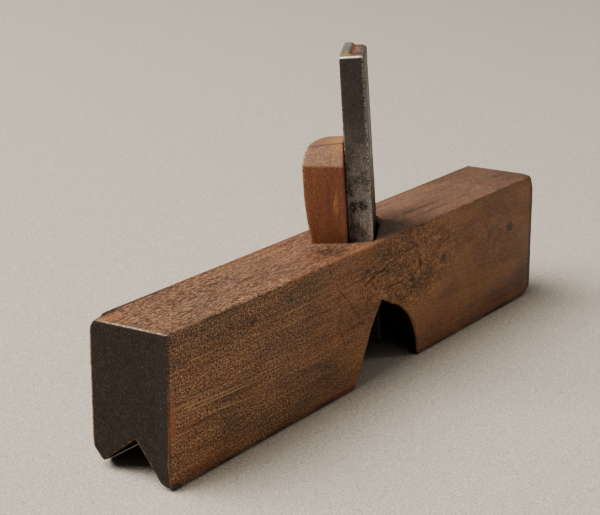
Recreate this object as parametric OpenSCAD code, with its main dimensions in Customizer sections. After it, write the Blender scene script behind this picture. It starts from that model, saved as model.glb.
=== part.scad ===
// Spill plane: a small wooden plane that shaves a board's edge into a tight
// curl (a spill for lighting a fire). The stock has a tilted 90 degree groove
// along its sole, a quarter-round throat in one side, and a steeply skewed,
// almost upright iron that a tapered wedge holds in its mortise.
// +X runs toward the toe, -Y is the side with the throat, +Z is up.
// The origin is the bottom centre of the stock. Millimetres.

/* [Stock] */
// Length of the stock
body_l = 241.3; // [225:0.1:260]
// Width of the stock
body_w = 29.6; // [29:0.1:32]
// Height of the stock
body_h = 49.5; // [47:0.1:53]
// Width of the flat taken off each long edge
edge = 0.9; // [0.5:0.1:1.2]
// Height that the break has taken off the far foot's corner at the near end
foot_wear = 4.1; // [3:0.1:5]

/* [Groove] */
// Sideways place of the groove's ridge line from the middle of the stock
groove_y = -1.6; // [-2:0.1:-1.2]
// Height of the groove's ridge line above the sole
groove_h = 14.2; // [13.2:0.1:14.4]
// Slope of the wide flank, the fence, from the sole
fence_angle = 37.6; // [36.8:0.1:38.4]

/* [Throat] */
// Place of the throat's centre line from the middle of the stock
throat_x = 2.5; // [1.5:0.1:3.5]
// Radius of the quarter-round front of the throat
throat_r = 25.5; // [24:0.1:26.5]
// Height of the throat's highest corner
throat_h = 28.1; // [27.5:0.1:29.5]
// How far the throat's straight side runs back at the sole
throat_back = 18.2; // [16:0.1:19]
// Depth of the throat from the side of the stock
throat_d = 15; // [14.5:0.1:15.6]

/* [Iron] */
// Width of the iron
iron_w = 29.5; // [28:0.1:30]
// Thickness of the iron
iron_t = 8.5; // [7.6:0.1:8.6]
// Height of the iron's top above the stock
iron_up = 64.1; // [50:0.1:70]
// Skew of the iron's faces from the length of the stock
iron_skew = 28.1; // [27.5:0.1:28.7]
// Lean of the iron's top toward the wedge
iron_lean = 3.6; // [3.3:0.1:3.9]
// Angle between the iron's face and its ground bevel
bevel_angle = 35; // [32:1:40]
// How far the cutting edge stands out of the steep flank
iron_set = 0.4; // [0.2:0.1:0.6]

/* [Wedge] */
// Height of the wedge's head above the stock
wedge_up = 34.9; // [33:0.1:38]
// Length of the wedge inside the mortise
wedge_in = 28; // [24:0.1:28.5]
// Taper of the wedge's outer face
wedge_taper = 2.7; // [2.5:0.1:2.9]
// How far the head swells out past the mortise's wall
wedge_swell = 1.8; // [1:0.1:2.2]
// Height at which it is full
swell_h = 22; // [16:1:26]
// Height of the slope cut across the head's front corner
head_slope_h = 7.75; // [5:0.05:8.5]
// Inset of that slope
head_slope_in = 5.1; // [3:0.1:5.5]
// Turn of that slope in plan
head_turn = 10.8; // [6:0.2:12]
// Radius of the head's crown
crown_r = 58; // [50:1:80]

/* [Hidden] */
$fn = 96;

wood_dark = [0.42, 0.27, 0.17];
wood_warm = [0.55, 0.31, 0.16];
steel = [0.33, 0.31, 0.29];

big = 400;
apex = [groove_y, groove_h];
steep_angle = 90 - fence_angle;
// where the steep flank meets the sole
toe_y = groove_y - groove_h / tan(steep_angle);

// the iron's near corner on the throat side, at the top of the stock
iron_at = [0.55, -11.8, body_h];
// clearances of the iron and the wedge in the mortise
gap = 0.15;
// corners of the mortise in the iron's frame, at the top of the stock
m_front_r = [-0.2, -0.3];
m_front_m = [-3.9, 8.5];
m_front_l = [-5.65, 21.1];
m_back_l = [30.6, 8.85];
m_back_r = [35.5, 0.4];
m_side_r = [30, -1.1];
wall_turn = atan2(m_back_l[1] - m_front_l[1], m_back_l[0] - m_front_l[0]);
// the wedge's outer face above the stock, swelling in a smooth curve
swell = [for (i = [0:8]) [-gap + (wedge_swell + gap) * (1 - pow(1 - i / 8, 2.05)), swell_h * i / 8]];

// Puts children in the iron's frame: X along its width, Y through its
// thickness toward the wedge, Z along the way the iron and wedge slide out.
module iron_frame() {
    translate(iron_at) rotate([0, 0, iron_skew]) rotate([-iron_lean, 0, 0]) children();
}

// The steep flank's plane and the iron's face meet along the cutting edge.
function turn_z(v, a) = [v[0] * cos(a) - v[1] * sin(a), v[0] * sin(a) + v[1] * cos(a), v[2]];
function turn_x(v, a) = [v[0], v[1] * cos(a) - v[2] * sin(a), v[1] * sin(a) + v[2] * cos(a)];
function to_iron(v) = turn_x(turn_z(v, -iron_skew), iron_lean);
flank_n = to_iron([0, sin(steep_angle), -cos(steep_angle)]);
flank_at = to_iron([0, groove_y, groove_h] - iron_at);
flank_d = flank_n * flank_at + iron_set;
edge_slope = atan(-flank_n[0] / flank_n[2]);
function edge_z(x) = (flank_d - flank_n[0] * x) / flank_n[2];
// the edge's low end, and the near corner ground back above it
tip_x = 15;
clip_h = 9;

module half_space_below(w) {
    translate([-w, -w, -w]) cube([2 * w, 2 * w, w]);
}

// Section of the stock across its length, with eased long edges. The wide
// flank runs out through the far side a little above the sole, so the plane
// leans that way on a bench, on the narrow foot and the far lower edge.
module stock_section() {
    w = body_w / 2;
    difference() {
        polygon([
            [-w, 1.2], [-w, body_h - edge], [-w + edge, body_h], [w - edge, body_h],
            [w, body_h - edge], [w, 0], [-w + 1, 0]
        ]);
        polygon([
            apex, [toe_y - 5 / tan(steep_angle), -5], [w + 5, -5],
            [w + 5, groove_h - (w + 5 - groove_y) * tan(fence_angle)]
        ]);
    }
}

// Outline of the throat on the side of the stock.
module throat_outline() {
    union() {
        intersection() {
            translate([throat_x, 0]) circle(r = throat_r);
            translate([throat_x - 0.01, -10]) square([60, 60]);
        }
        polygon([
            [throat_x - throat_back - 7, -10], [throat_x + 2, -10],
            [throat_x + 6.4, throat_r - 0.82], [throat_x, throat_h],
            [throat_x - 3.9, throat_h - 4.2], [throat_x - 7.7, throat_h - 9.2],
            [throat_x - 9.9, throat_h - 13.8], [throat_x - throat_back, 0]
        ]);
    }
}

module throat() {
    intersection() {
        translate([0, -body_w / 2 + throat_d, 0]) rotate([90, 0, 0])
            linear_extrude(height = throat_d + 5) throat_outline();
        // it ends at the plane of the iron's back
        iron_frame() translate([-big / 2, -big + iron_t, -big / 2]) cube([big, big, big]);
    }
}

// Space that the wedge and the upper part of the iron stand in.
module mortise() {
    iron_frame() difference() {
        translate([0, 0, -wedge_in - 6]) linear_extrude(height = wedge_in + 12)
            polygon([m_front_r, m_front_m, m_front_l + [-0.6, 4], m_back_l + [0, 4], m_back_l, m_back_r, m_side_r]);
        // tapered far wall
        translate([m_front_l[0], m_front_l[1], 0]) rotate([0, 0, wall_turn]) rotate([-wedge_taper, 0, 0])
            translate([-20, 0, -60]) cube([80, 20, 90]);
        // sloping floor behind the iron
        translate([0, iron_t + 0.2, -wedge_in - 6]) rotate([40, 0, 0])
            translate([-40, 0, -40]) cube([100, 40, 40]);
    }
}

// Slot that takes the iron on down through the sole.
module iron_slot() {
    iron_frame() translate([-0.2, -0.3, -70]) cube([iron_w + 0.6, iron_t + 0.5, 60]);
}

// Slope worn off a foot's lower corner at one end of the stock.
module worn_foot(x_sign, y_sign, wear, run) {
    translate([x_sign * body_l / 2, y_sign * body_w / 2, wear])
        rotate([0, -x_sign * atan2(wear, run), 0])
            translate([-30, y_sign > 0 ? -9 : -3.6, -20]) cube([60, 12.6, 20]);
}

// Break at the far foot's corner on the near end: one oblique plane.
module broken_corner() {
    n = [-0.61, 0.75, -0.66] / norm([-0.61, 0.75, -0.66]);
    translate([-body_l / 2, 10.6 - 14.8 + body_w / 2, foot_wear]) rotate([0, acos(n[2]), atan2(n[1], n[0])])
        translate([-30, -30, 0]) cube([60, 60, 20]);
}

module end_edge(x_sign, z_up) {
    // eased edge across an end
    translate([x_sign * body_l / 2, 0, z_up]) rotate([0, 45, 0])
        cube([edge * 1.3, body_w + 10, edge * 1.3], center = true);
}

module stock() {
    color(wood_dark) difference() {
        translate([-body_l / 2, 0, 0]) rotate([90, 0, 90]) linear_extrude(height = body_l) stock_section();
        throat();
        mortise();
        iron_slot();
        broken_corner();
        worn_foot(-1, -1, 1.3, 2);
        worn_foot(1, -1, 2.2, 3.5);
        for (s = [-1, 1]) {
            end_edge(s, body_h);
            for (t = [-1, 1]) translate([s * body_l / 2, t * body_w / 2, body_h / 2]) rotate([0, 0, 45])
                cube([edge * 1.3, edge * 1.3, body_h + 10], center = true);
        }
    }
}

module iron() {
    color(steel) iron_frame() difference() {
        translate([0, 0, edge_z(tip_x) - 2]) cube([iron_w, iron_t, iron_up + iron_t * sin(iron_lean) - edge_z(tip_x) + 2]);
        // ground bevel behind the cutting edge
        translate([tip_x, 0, edge_z(tip_x)]) rotate([0, -edge_slope, 0]) rotate([90 - bevel_angle, 0, 0])
            half_space_below(80);
        // near corner ground back, so it stays inside the stock
        translate([tip_x, 0, edge_z(tip_x)]) rotate([0, atan2(clip_h, tip_x), 0])
            half_space_below(80);
        // eased edges of the top
        for (x = [0, iron_w]) translate([x, iron_t / 2, iron_up + iron_t * sin(iron_lean)]) rotate([0, 45, 0])
            cube([1.1, 20, 1.1], center = true);
        for (y = [0, iron_t]) translate([iron_w / 2, y, iron_up + iron_t * sin(iron_lean)]) rotate([45, 0, 0])
            cube([60, 0.9, 0.9], center = true);
    }
}

module wedge() {
    color(wood_warm) iron_frame() intersection() {
        difference() {
            translate([0, 0, -wedge_in]) linear_extrude(height = wedge_in + wedge_up + 5) polygon([
                [m_front_m[0] + gap, iron_t + gap], [m_front_l[0] + gap - 0.3, 24.5],
                [18, 24.5], [24.5, 12], [24.5, iron_t + gap]
            ]);
            // outer face: tapered inside the mortise, swelling above it
            translate([m_front_l[0], m_front_l[1], 0]) rotate([0, 0, wall_turn])
                translate([-20, 0, 0]) rotate([90, 0, 90]) linear_extrude(height = 80) polygon(concat(
                    [[30, 80], [30, -60], [-gap - 60 * tan(wedge_taper), -60]], swell, [[wedge_swell, 80]]));
            // slope across the head's front corner
            translate([m_front_m[0] + gap, iron_t + gap, wedge_up - head_slope_h]) rotate([0, 0, head_turn])
                rotate([0, -atan2(head_slope_h, head_slope_in), 0]) translate([-60, -60, 0]) cube([120, 120, 40]);
            // eased top corner of the outer face
            translate([m_front_l[0], m_front_l[1], 0]) rotate([0, 0, wall_turn]) translate([0, wedge_swell, wedge_up])
                rotate([45, 0, 0]) cube([120, 1.4, 1.4], center = true);
            // sloping lower end
            translate([0, iron_t + gap + 3, -wedge_in]) rotate([40, 0, 0])
                translate([-40, 0, -40]) cube([100, 40, 40]);
        }
        // crown of the head
        translate([6, 60, wedge_up - crown_r]) rotate([90, 0, 0]) cylinder(h = 80, r = crown_r, $fn = 200);
    }
}

stock();
iron();
wedge();
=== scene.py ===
# Spill plane: the looks of the stock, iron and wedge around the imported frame.
import math

import bpy
import numpy as np
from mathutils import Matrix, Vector

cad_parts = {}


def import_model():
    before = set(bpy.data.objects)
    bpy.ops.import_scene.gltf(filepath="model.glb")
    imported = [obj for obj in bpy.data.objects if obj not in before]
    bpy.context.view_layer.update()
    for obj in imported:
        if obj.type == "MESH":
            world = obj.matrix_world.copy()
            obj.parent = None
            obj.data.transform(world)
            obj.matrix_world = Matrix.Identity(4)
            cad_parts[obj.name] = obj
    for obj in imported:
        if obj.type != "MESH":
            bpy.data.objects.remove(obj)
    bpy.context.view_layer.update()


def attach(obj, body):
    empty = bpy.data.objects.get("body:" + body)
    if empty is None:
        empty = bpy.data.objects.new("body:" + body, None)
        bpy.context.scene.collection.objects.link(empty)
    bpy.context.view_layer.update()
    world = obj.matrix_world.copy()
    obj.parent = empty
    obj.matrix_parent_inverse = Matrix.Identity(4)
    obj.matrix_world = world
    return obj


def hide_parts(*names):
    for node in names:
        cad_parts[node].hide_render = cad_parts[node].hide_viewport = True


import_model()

MM = 0.001


# ---------------------------------------------------------------- camera
cam_data = bpy.data.cameras.new("camera")
cam_data.lens = 103.6
cam_data.sensor_width = 36.0
cam_data.clip_start, cam_data.clip_end = 0.02, 40
cam = bpy.data.objects.new("camera", cam_data)
cam.location = (-0.49615, -0.3062, 0.2092)
cam.rotation_mode = "QUATERNION"
cam.rotation_quaternion = Vector((0.80428, 0.52606, -0.27638)).to_track_quat("-Z", "Y")
bpy.context.scene.collection.objects.link(cam)
bpy.context.scene.camera = cam


# ---------------------------------------------------------------- implicit shapes, in millimetres
def smax(a, b, k):
    """Largest of two, with a rounded crossing about k wide."""
    h = np.maximum(k - np.abs(a - b), 0.0) / k
    return np.maximum(a, b) + h * h * k * 0.25


def step(a, b, x):
    t = np.clip((x - a) / (b - a), 0.0, 1.0)
    return t * t * (3 - 2 * t)


def vnoise(p, seed=0):
    """Smooth value noise from -1 to 1 at points p, in lattice units."""
    i = np.floor(p).astype(np.int64)
    f = p - i
    u = f * f * (3 - 2 * f)
    out = np.zeros(len(p))
    for dx in (0, 1):
        for dy in (0, 1):
            for dz in (0, 1):
                n = ((i[:, 0] + dx) * 73856093) ^ ((i[:, 1] + dy) * 19349663) ^ ((i[:, 2] + dz) * 83492791) ^ (seed * 26544357)
                n = (n ^ (n >> 13)) & 0xFFFFFFFF
                n = (n * 1274126177) & 0xFFFFFFFF
                n = n ^ (n >> 16)
                v = (n & 0xFFFF) / 32767.5 - 1.0
                w = (u[:, 0] if dx else 1 - u[:, 0]) * (u[:, 1] if dy else 1 - u[:, 1]) * (u[:, 2] if dz else 1 - u[:, 2])
                out += w * v
    return out


def poly(px, py, pts):
    """Signed distance to a closed polygon, negative inside."""
    pts = np.asarray(pts, float)
    best = np.full(px.shape, 1e9)
    inside = np.zeros(px.shape, bool)
    n = len(pts)
    for k in range(n):
        ax, ay = pts[k]
        bx, by = pts[(k + 1) % n]
        ex, ey = bx - ax, by - ay
        wx, wy = px - ax, py - ay
        t = np.clip((wx * ex + wy * ey) / (ex * ex + ey * ey), 0, 1)
        best = np.minimum(best, (wx - ex * t) ** 2 + (wy - ey * t) ** 2)
        crosses = (ay > py) != (by > py)
        if ey != 0:
            inside ^= crosses & (px < ax + ex * (py - ay) / ey)
    d = np.sqrt(best)
    return np.where(inside, -d, d)


# frame of the iron: u along its width, n through its thickness, w up its length
SK, LEAN = math.radians(28.1), math.radians(3.6)
E_U = np.array([math.cos(SK), math.sin(SK), 0.0])
E_N = np.array([-math.sin(SK) * math.cos(LEAN), math.cos(SK) * math.cos(LEAN), -math.sin(LEAN)])
E_W = np.array([-math.sin(SK) * math.sin(LEAN), math.cos(SK) * math.sin(LEAN), math.cos(LEAN)])
IRON_AT = np.array([0.55, -11.8, 49.5])
TO_LOCAL = np.stack([E_U, E_N, E_W], 1)


def local(p):
    return (p - IRON_AT) @ TO_LOCAL


def world(q):
    return q @ TO_LOCAL.T + IRON_AT


HL, HW, H = 120.65, 14.8, 49.5
GY, GZ = -1.6, 14.2
CF, SF = math.cos(math.radians(37.6)), math.sin(math.radians(37.6))
CS, SS = math.cos(math.radians(52.4)), math.sin(math.radians(52.4))
THROAT = (
    [[-18.3, -6], [2.5 + 25.5, -6]]
    + [[2.5 + 25.5 * math.cos(a), 25.5 * math.sin(a)] for a in np.radians(np.linspace(0, 72, 19))]
    + [[2.5 + 6.4, 24.75], [2.5, 28.1], [-1.4, 23.9], [-5.2, 18.9], [-7.4, 14.3], [-15.7, 0]]
)
MORTISE = [(-0.2, -0.3), (-3.9, 8.5), (-6.25, 25.1), (30.6, 12.85), (30.6, 8.85), (35.5, 0.4), (30, -1.1)]
WALL_AT = np.array([-5.65, 21.1])
WALL_TURN = math.atan2(8.85 - 21.1, 30.6 + 5.65)
TAPER = math.radians(2.7)


def far_wall(q):
    """Past the mortise's tapered far wall where positive."""
    dy = -(q[:, 0] - WALL_AT[0]) * math.sin(WALL_TURN) + (q[:, 1] - WALL_AT[1]) * math.cos(WALL_TURN)
    return dy * math.cos(TAPER) - q[:, 2] * math.sin(TAPER)


def groove(p):
    y, z = p[:, 1], p[:, 2]
    d_f = (z - GZ) * CF + (y - GY) * SF
    d_s = (z - GZ) * CS - (y - GY) * SS
    return d_f, d_s


def throat_void(p, q):
    t = poly(p[:, 0], p[:, 2], THROAT)
    return np.maximum(smax(t, p[:, 1] - 0.2, 1.2), q[:, 1] - 8.5)


def mortise_void(p, q):
    a, b = math.cos(math.radians(40)), math.sin(math.radians(40))
    m = poly(q[:, 0], q[:, 1], MORTISE)
    m = np.maximum(m, far_wall(q))
    m = np.maximum(m, b * (q[:, 1] - 8.7) - a * (q[:, 2] + 34))
    return np.maximum(m, -34 - q[:, 2])


def slot_void(q):
    m = np.maximum(np.maximum(-0.2 - q[:, 0], q[:, 0] - 29.9), np.maximum(-0.3 - q[:, 1], q[:, 1] - 8.7))
    return np.maximum(m, q[:, 2] + 10)


def near(p, at, size):
    """1 at a point, falling to 0 about size away."""
    d = (p - np.asarray(at, float)) / np.asarray(size, float)
    return np.exp(-(d * d).sum(1))


def f_stock(p):
    x, y, z = p[:, 0], p[:, 1], p[:, 2]
    q = local(p)
    wear = vnoise(p / 13.0, 3) * 0.5 + vnoise(p / 4.5, 4) * 0.35
    fy, fz, fx = np.abs(y) - HW, np.maximum(z - H, -z), np.abs(x) - HL
    k1 = np.where(y > 0, 0.3, 0.7) + 0.25 * wear + 1.2 * near(p, (120, -14.8, 49), (8, 6, 6)) + 1.2 * near(p, (-120, 14.8, 49), (6, 5, 5))
    f = smax(fy, fz, k1)
    k2 = 0.15 + 0.08 * wear + 2.6 * near(p, (120, -14.8, 49), (5, 4, 4)) + 0.4 * near(p, (120, -14.8, 1), (7, 7, 6))
    k2 = k2 + 0.9 * near(p, (-120, -14.8, 49), (4, 3, 3)) + 1.4 * near(p, (-120, -14.8, 1), (6, 6, 5))
    f = smax(f, fx, k2)
    # near end: its top corner on the blind side is rounded in outline
    c = math.sqrt(0.5)
    tip = near(p, (-120.6, 14.8, 49.5), (8, 14, 14))
    f = smax(f, ((y - HW) + (z - H)) * c + 1.0 * tip - 2.4 * (1 - tip), 2.0)
    d_f, d_s = groove(p)
    f = smax(f, -smax(d_f, d_s, 0.4), 0.4 + 0.9 * step(6.0, 12.0, y) * step(-40.0, -85.0, x))
    # feet worn at the ends; the far one's corner is broken off in a slope
    broken = (0.75 * (y - 10.6) - 0.66 * (z - 4.1) - 0.61 * (x + HL)) / 1.17
    f = smax(f, np.maximum(broken, -9.0), 0.6)
    h = 1.2 - 0.7 * (x + HL)
    f = smax(f, np.maximum(np.where(y < -4, (h - z) * 0.82, -9.0), -9.0), 1.4)
    h = 2.4 - 0.5 * (HL - x)
    f = smax(f, np.maximum(np.where(y < -4, (h - z) * 0.88, -9.0), -9.0), 0.9)
    f = smax(f, -throat_void(p, q), 0.55)
    f = smax(f, -np.minimum(mortise_void(p, q), slot_void(q)), 0.4)
    return f


IRON_T = 8.58
EDGE_X, EDGE_Z = 15.0, -43.22
EDGE_SLOPE = math.radians(33.44)
BEVEL = math.radians(55)


def f_iron(q):
    u, n, w = q[:, 0], q[:, 1], q[:, 2]
    wear = vnoise(q / 7.0, 11) * 0.5 + vnoise(q / 2.6, 12) * 0.5
    # broad face a little hollow away from the edge that shows
    face = 0.03 + 0.22 * step(0, 60, w) + 0.3 * step(0, 29, u) * step(-12, 4, w)
    thick = IRON_T - 0.1 * step(0, 62, w)
    f = np.maximum(face - n, n - thick)
    side = np.maximum(-u + 0.03, u - 29.45)
    k = np.where(n > 4, 0.3, 0.55) + 0.2 * wear
    f = smax(f, side, k)
    # head: falls off toward its back, mushroomed and uneven
    top = 64.42 + 0.1 * vnoise(q / np.array([4.0, 2.6, 50.0]), 13) - 0.45 * step(5.6, 4.6, n) * step(2, 9, u) - 0.6 * step(2.4, 0.2, n) * step(1, 6, u)
    top = top + 0.55 * step(4.8, 5.8, n) * step(3, 7, u)
    top = np.minimum(top, 64.53 + 0.06 * n)
    f = smax(f, w - top, 0.7 + 0.3 * wear)
    # skewed cutting edge with its bevel behind, and the near corner ground back
    dx, dz = u - EDGE_X, w - EDGE_Z
    t = -dx * math.sin(EDGE_SLOPE) + dz * math.cos(EDGE_SLOPE)
    bev = -t * math.cos(BEVEL) + n * math.sin(BEVEL)
    # keep: t*cos + ... above the bevel plane
    f = np.maximum(f, bev * 1.0)
    clip = math.atan2(9.0, 15.0)
    t2 = dx * math.sin(clip) + dz * math.cos(clip)
    f = smax(f, -t2, 0.4)
    return f


def swell(w):
    """How far the wedge's outer face stands from the mortise's wall line."""
    above = -0.17 + 1.95 * (1 - np.power(1 - np.clip(w / 22.0, 0, 1), 2.05))
    return np.where(w < 0, -0.17 + w * math.tan(TAPER), above)


def f_wedge(q):
    u, n, w = q[:, 0], q[:, 1], q[:, 2]
    wear = vnoise(q / 9.0, 21) * 0.5 + vnoise(q / 3.0, 22) * 0.4
    # plan: four faces, with their corners eased
    front = (-(n - 8.65) * 2.05 - (u + 3.75) * 15.85) / 15.98
    back = u - 24.5
    inner = 8.66 - n
    dy = -(u - WALL_AT[0]) * math.sin(WALL_TURN) + (n - WALL_AT[1]) * math.cos(WALL_TURN)
    outer = (dy - swell(w)) * 0.985
    f = smax(front, inner, 0.15)
    f = smax(f, outer, 0.55 + 0.35 * wear + 1.6 * near(q, (-3, 22.5, 33.5), (4, 3, 3)))
    f = smax(f, back, 0.8)
    top = np.sqrt((u - 6) ** 2 + (w + 23.1) ** 2) - 58
    f = smax(f, top, 0.7 + 0.3 * wear + 2.0 * near(q, (-3, 22.5, 34), (4, 3, 4)))
    slope = -0.825 * (u + 3.75) - 0.157 * (n - 8.65) + 0.542 * (w - 27.15)
    f = smax(f, slope, 0.3)
    a, b = math.cos(math.radians(40)), math.sin(math.radians(40))
    f = smax(f, -(a * (w + 28) - b * (n - 11.5)), 0.6)
    f = smax(f, -28 - w, 0.6)
    return f


# ---------------------------------------------------------------- mesh from an implicit shape
CORNERS = [(i, j, k) for i in (0, 1) for j in (0, 1) for k in (0, 1)]
EDGES = [(a, b) for a in range(8) for b in range(a + 1, 8) if sum(abs(CORNERS[a][i] - CORNERS[b][i]) for i in range(3)) == 1]


def values(f, p, chunk=400000):
    return np.concatenate([f(p[i : i + chunk]) for i in range(0, len(p), chunk)])


def gradient(f, p, e=0.04):
    g = np.zeros_like(p)
    for i in range(3):
        d = np.zeros(3)
        d[i] = e
        g[:, i] = (values(f, p + d) - values(f, p - d)) / (2 * e)
    return g


def nets(f, lo, hi, h, rounds=3):
    """Quads near f = 0 between two corners, with every vertex pulled onto it."""
    lo = np.asarray(lo, float)
    n = np.ceil((np.asarray(hi, float) - lo) / h).astype(int) + 1
    ax = [lo[i] + h * np.arange(n[i]) for i in range(3)]
    grid = np.stack(np.meshgrid(*ax, indexing="ij"), -1).reshape(-1, 3)
    v = values(f, grid).reshape(n)
    s = v < 0
    c = np.zeros(tuple(n - 1), np.int8)
    for i, j, k in CORNERS:
        c += s[i : n[0] - 1 + i, j : n[1] - 1 + j, k : n[2] - 1 + k]
    act = (c > 0) & (c < 8)
    ids = np.argwhere(act)
    idx = np.full(act.shape, -1, int)
    idx[act] = np.arange(len(ids))
    acc, cnt = np.zeros((len(ids), 3)), np.zeros(len(ids))
    for a, b in EDGES:
        ca, cb = np.array(CORNERS[a]), np.array(CORNERS[b])
        ia, ib = ids + ca, ids + cb
        va, vb = v[ia[:, 0], ia[:, 1], ia[:, 2]], v[ib[:, 0], ib[:, 1], ib[:, 2]]
        m = (va < 0) != (vb < 0)
        t = (va[m] / (va[m] - vb[m]))[:, None]
        acc[m] += ca + t * (cb - ca)
        cnt[m] += 1
    verts = lo + h * (ids + acc / cnt[:, None])
    quads = []
    for a in range(3):
        b, d = (a + 1) % 3, (a + 2) % 3
        sl0, sl1 = [slice(None)] * 3, [slice(None)] * 3
        sl0[a], sl1[a] = slice(0, -1), slice(1, None)
        for want in (True, False):
            e = np.argwhere((s[tuple(sl0)] == want) & (s[tuple(sl1)] != want))
            e = e[(e[:, b] > 0) & (e[:, d] > 0)]
            off = []
            for ob, od in ((-1, -1), (0, -1), (0, 0), (-1, 0)):
                o = e.copy()
                o[:, b] += ob
                o[:, d] += od
                ok = (o[:, b] < act.shape[b]) & (o[:, d] < act.shape[d])
                o = np.minimum(o, np.array(act.shape) - 1)
                off.append(np.where(ok, idx[o[:, 0], o[:, 1], o[:, 2]], -1))
            q = np.stack(off, 1)
            q = q[(q >= 0).all(1)]
            quads.append(q if want else q[:, ::-1])
    quads = np.concatenate(quads)
    for _ in range(rounds):
        g = gradient(f, verts)
        d = values(f, verts)
        move = g * (d / np.maximum((g * g).sum(1), 0.05))[:, None]
        size = np.linalg.norm(move, axis=1, keepdims=True)
        verts = verts - move * np.minimum(1.0, 0.5 * h / np.maximum(size, 1e-9))
    return verts, quads


def build(name, verts, quads, floats=None, vectors=None):
    mesh = bpy.data.meshes.new(name)
    mesh.vertices.add(len(verts))
    mesh.vertices.foreach_set("co", (verts * MM).astype(np.float32).ravel())
    mesh.loops.add(len(quads) * 4)
    mesh.loops.foreach_set("vertex_index", quads.astype(np.int32).ravel())
    mesh.polygons.add(len(quads))
    mesh.polygons.foreach_set("loop_start", np.arange(0, len(quads) * 4, 4, dtype=np.int32))
    mesh.polygons.foreach_set("loop_total", np.full(len(quads), 4, np.int32))
    mesh.update(calc_edges=True)
    mesh.polygons.foreach_set("use_smooth", np.ones(len(quads), bool))
    for key, vals in (floats or {}).items():
        at = mesh.attributes.new(key, "FLOAT", "POINT")
        at.data.foreach_set("value", vals.astype(np.float32))
    for key, vals in (vectors or {}).items():
        at = mesh.attributes.new(key, "FLOAT_VECTOR", "POINT")
        at.data.foreach_set("vector", vals.astype(np.float32).ravel())
    mesh.validate()
    obj = bpy.data.objects.new(name, mesh)
    bpy.context.scene.collection.objects.link(obj)
    return obj


def unit(g):
    return g / np.maximum(np.linalg.norm(g, axis=1, keepdims=True), 1e-9)


# ---------------------------------------------------------------- stock
sv, sq = nets(f_stock, (-122.2, -16.35, -1.2), (122.2, 16.2, 51.0), 0.7)


def crisp(v, a, sa, la, b, sb, lb, part):
    """Pull the vertices that lie along one edge of the block toward that edge."""
    da, db = la - sa * v[:, a], lb - sb * v[:, b]
    on = (da < 0.5) & (db < 0.5) & (da > -0.1) & (db > -0.1)
    w = part * on
    v[:, a] += sa * (da - 0.03) * w
    v[:, b] += sb * (db - 0.03) * w


worn_a = near(sv, (-120.6, 14.8, 49.5), (6, 6, 6))
worn_b = near(sv, (120, -14.8, 49), (5, 5, 5))
crisp(sv, 0, -1, HL, 1, 1, HW, 0.9 * (1 - worn_a) * step(9.0, 14.0, sv[:, 2]))
crisp(sv, 0, 1, HL, 1, -1, HW, 0.9 * (1 - worn_b) * step(4.0, 9.0, sv[:, 2]))
crisp(sv, 1, 1, HW, 2, 1, H, 0.9 * (1 - worn_a))
crisp(sv, 0, 1, HL, 2, 1, H, 0.9 * (1 - worn_b))
crisp(sv, 0, -1, HL, 2, 1, H, 0.6 * (1 - worn_a) * step(-14.0, -11.0, sv[:, 1]))
sn = unit(gradient(f_stock, sv))
sl = local(sv)
x, y, z = sv.T
d_f, d_s = groove(sv)
planes = np.sort(np.stack([np.abs(y) - HW, np.maximum(z - H, -z), np.abs(x) - HL], 1), axis=1)
arris = np.exp(-((planes[:, 1] / 1.1) ** 2))
end = step(0.62, 0.8, np.abs(sn[:, 0])) * (np.abs(x) > HL - 2.5)
rim = np.exp(-((throat_void(sv, sl) / 1.0) ** 2)) * (np.abs(y + HW) < 1.5)
inside = np.maximum.reduce([
    step(0.35, 0.0, np.abs(throat_void(sv, sl))) * (y > -14.3),
    step(0.35, 0.0, np.abs(np.minimum(mortise_void(sv, sl), slot_void(sl)))) * (z < 49.3),
    step(0.6, 0.2, np.abs(smax(d_f, d_s, 0.4))) * (z < 14.7) * step(HL + 0.1, HL - 0.5, np.abs(x)),
])
# surface: shallow dents and tool marks, cut inward only
dent = 0.03 * (0.5 + 0.5 * vnoise(sv / np.array([22.0, 7.0, 7.0]), 31)) + 0.02 * (0.5 + 0.5 * vnoise(sv / np.array([5.0, 2.2, 2.2]), 32))
dent = dent + arris * 0.05 * (0.5 + 0.5 * vnoise(sv / 2.4, 33))
sv = sv - sn * dent[:, None]
stock = build("plane_stock", sv, sq, {"arris": arris, "end": end, "rim": rim, "inside": inside, "up": step(0.45, 0.75, sn[:, 2])})
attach(stock, "stock")
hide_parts("stock")

# ---------------------------------------------------------------- iron
iv, iq = nets(f_iron, (-1.2, -1.2, -46.0), (30.8, 9.4, 66.0), 0.5)
ig = unit(gradient(f_iron, iv))
iside = np.sort(np.stack([np.maximum(-iv[:, 1], iv[:, 1] - IRON_T), np.maximum(-iv[:, 0], iv[:, 0] - 29.5), iv[:, 2] - 64.4], 1), axis=1)
iarris = np.exp(-((iside[:, 1] / 0.8) ** 2))
pit = 0.05 * np.maximum(0, vnoise(iv / 1.3, 41)) + 0.04 * np.maximum(0, vnoise(iv / 3.1, 42))
ivl = iv - ig * pit[:, None]
itilt = -(-(iv[:, 0] - EDGE_X) * math.sin(EDGE_SLOPE) + (iv[:, 2] - EDGE_Z) * math.cos(EDGE_SLOPE)) * math.cos(BEVEL) + iv[:, 1] * math.sin(BEVEL)
ibev = step(0.35, 0.1, np.abs(itilt)) * step(0.6, 0.9, ig @ np.array([math.sin(EDGE_SLOPE) * math.cos(BEVEL), math.sin(BEVEL), -math.cos(EDGE_SLOPE) * math.cos(BEVEL)]))
iron = build("plane_iron", world(ivl), iq, {"arris": iarris, "head": step(0.25, 0.6, ig[:, 2]) * (iv[:, 2] > 60), "hidden": step(0.0, -15.0, iv[:, 2]), "bevel": ibev}, {"loc": ivl * MM})
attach(iron, "iron")
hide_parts("iron")

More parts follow.
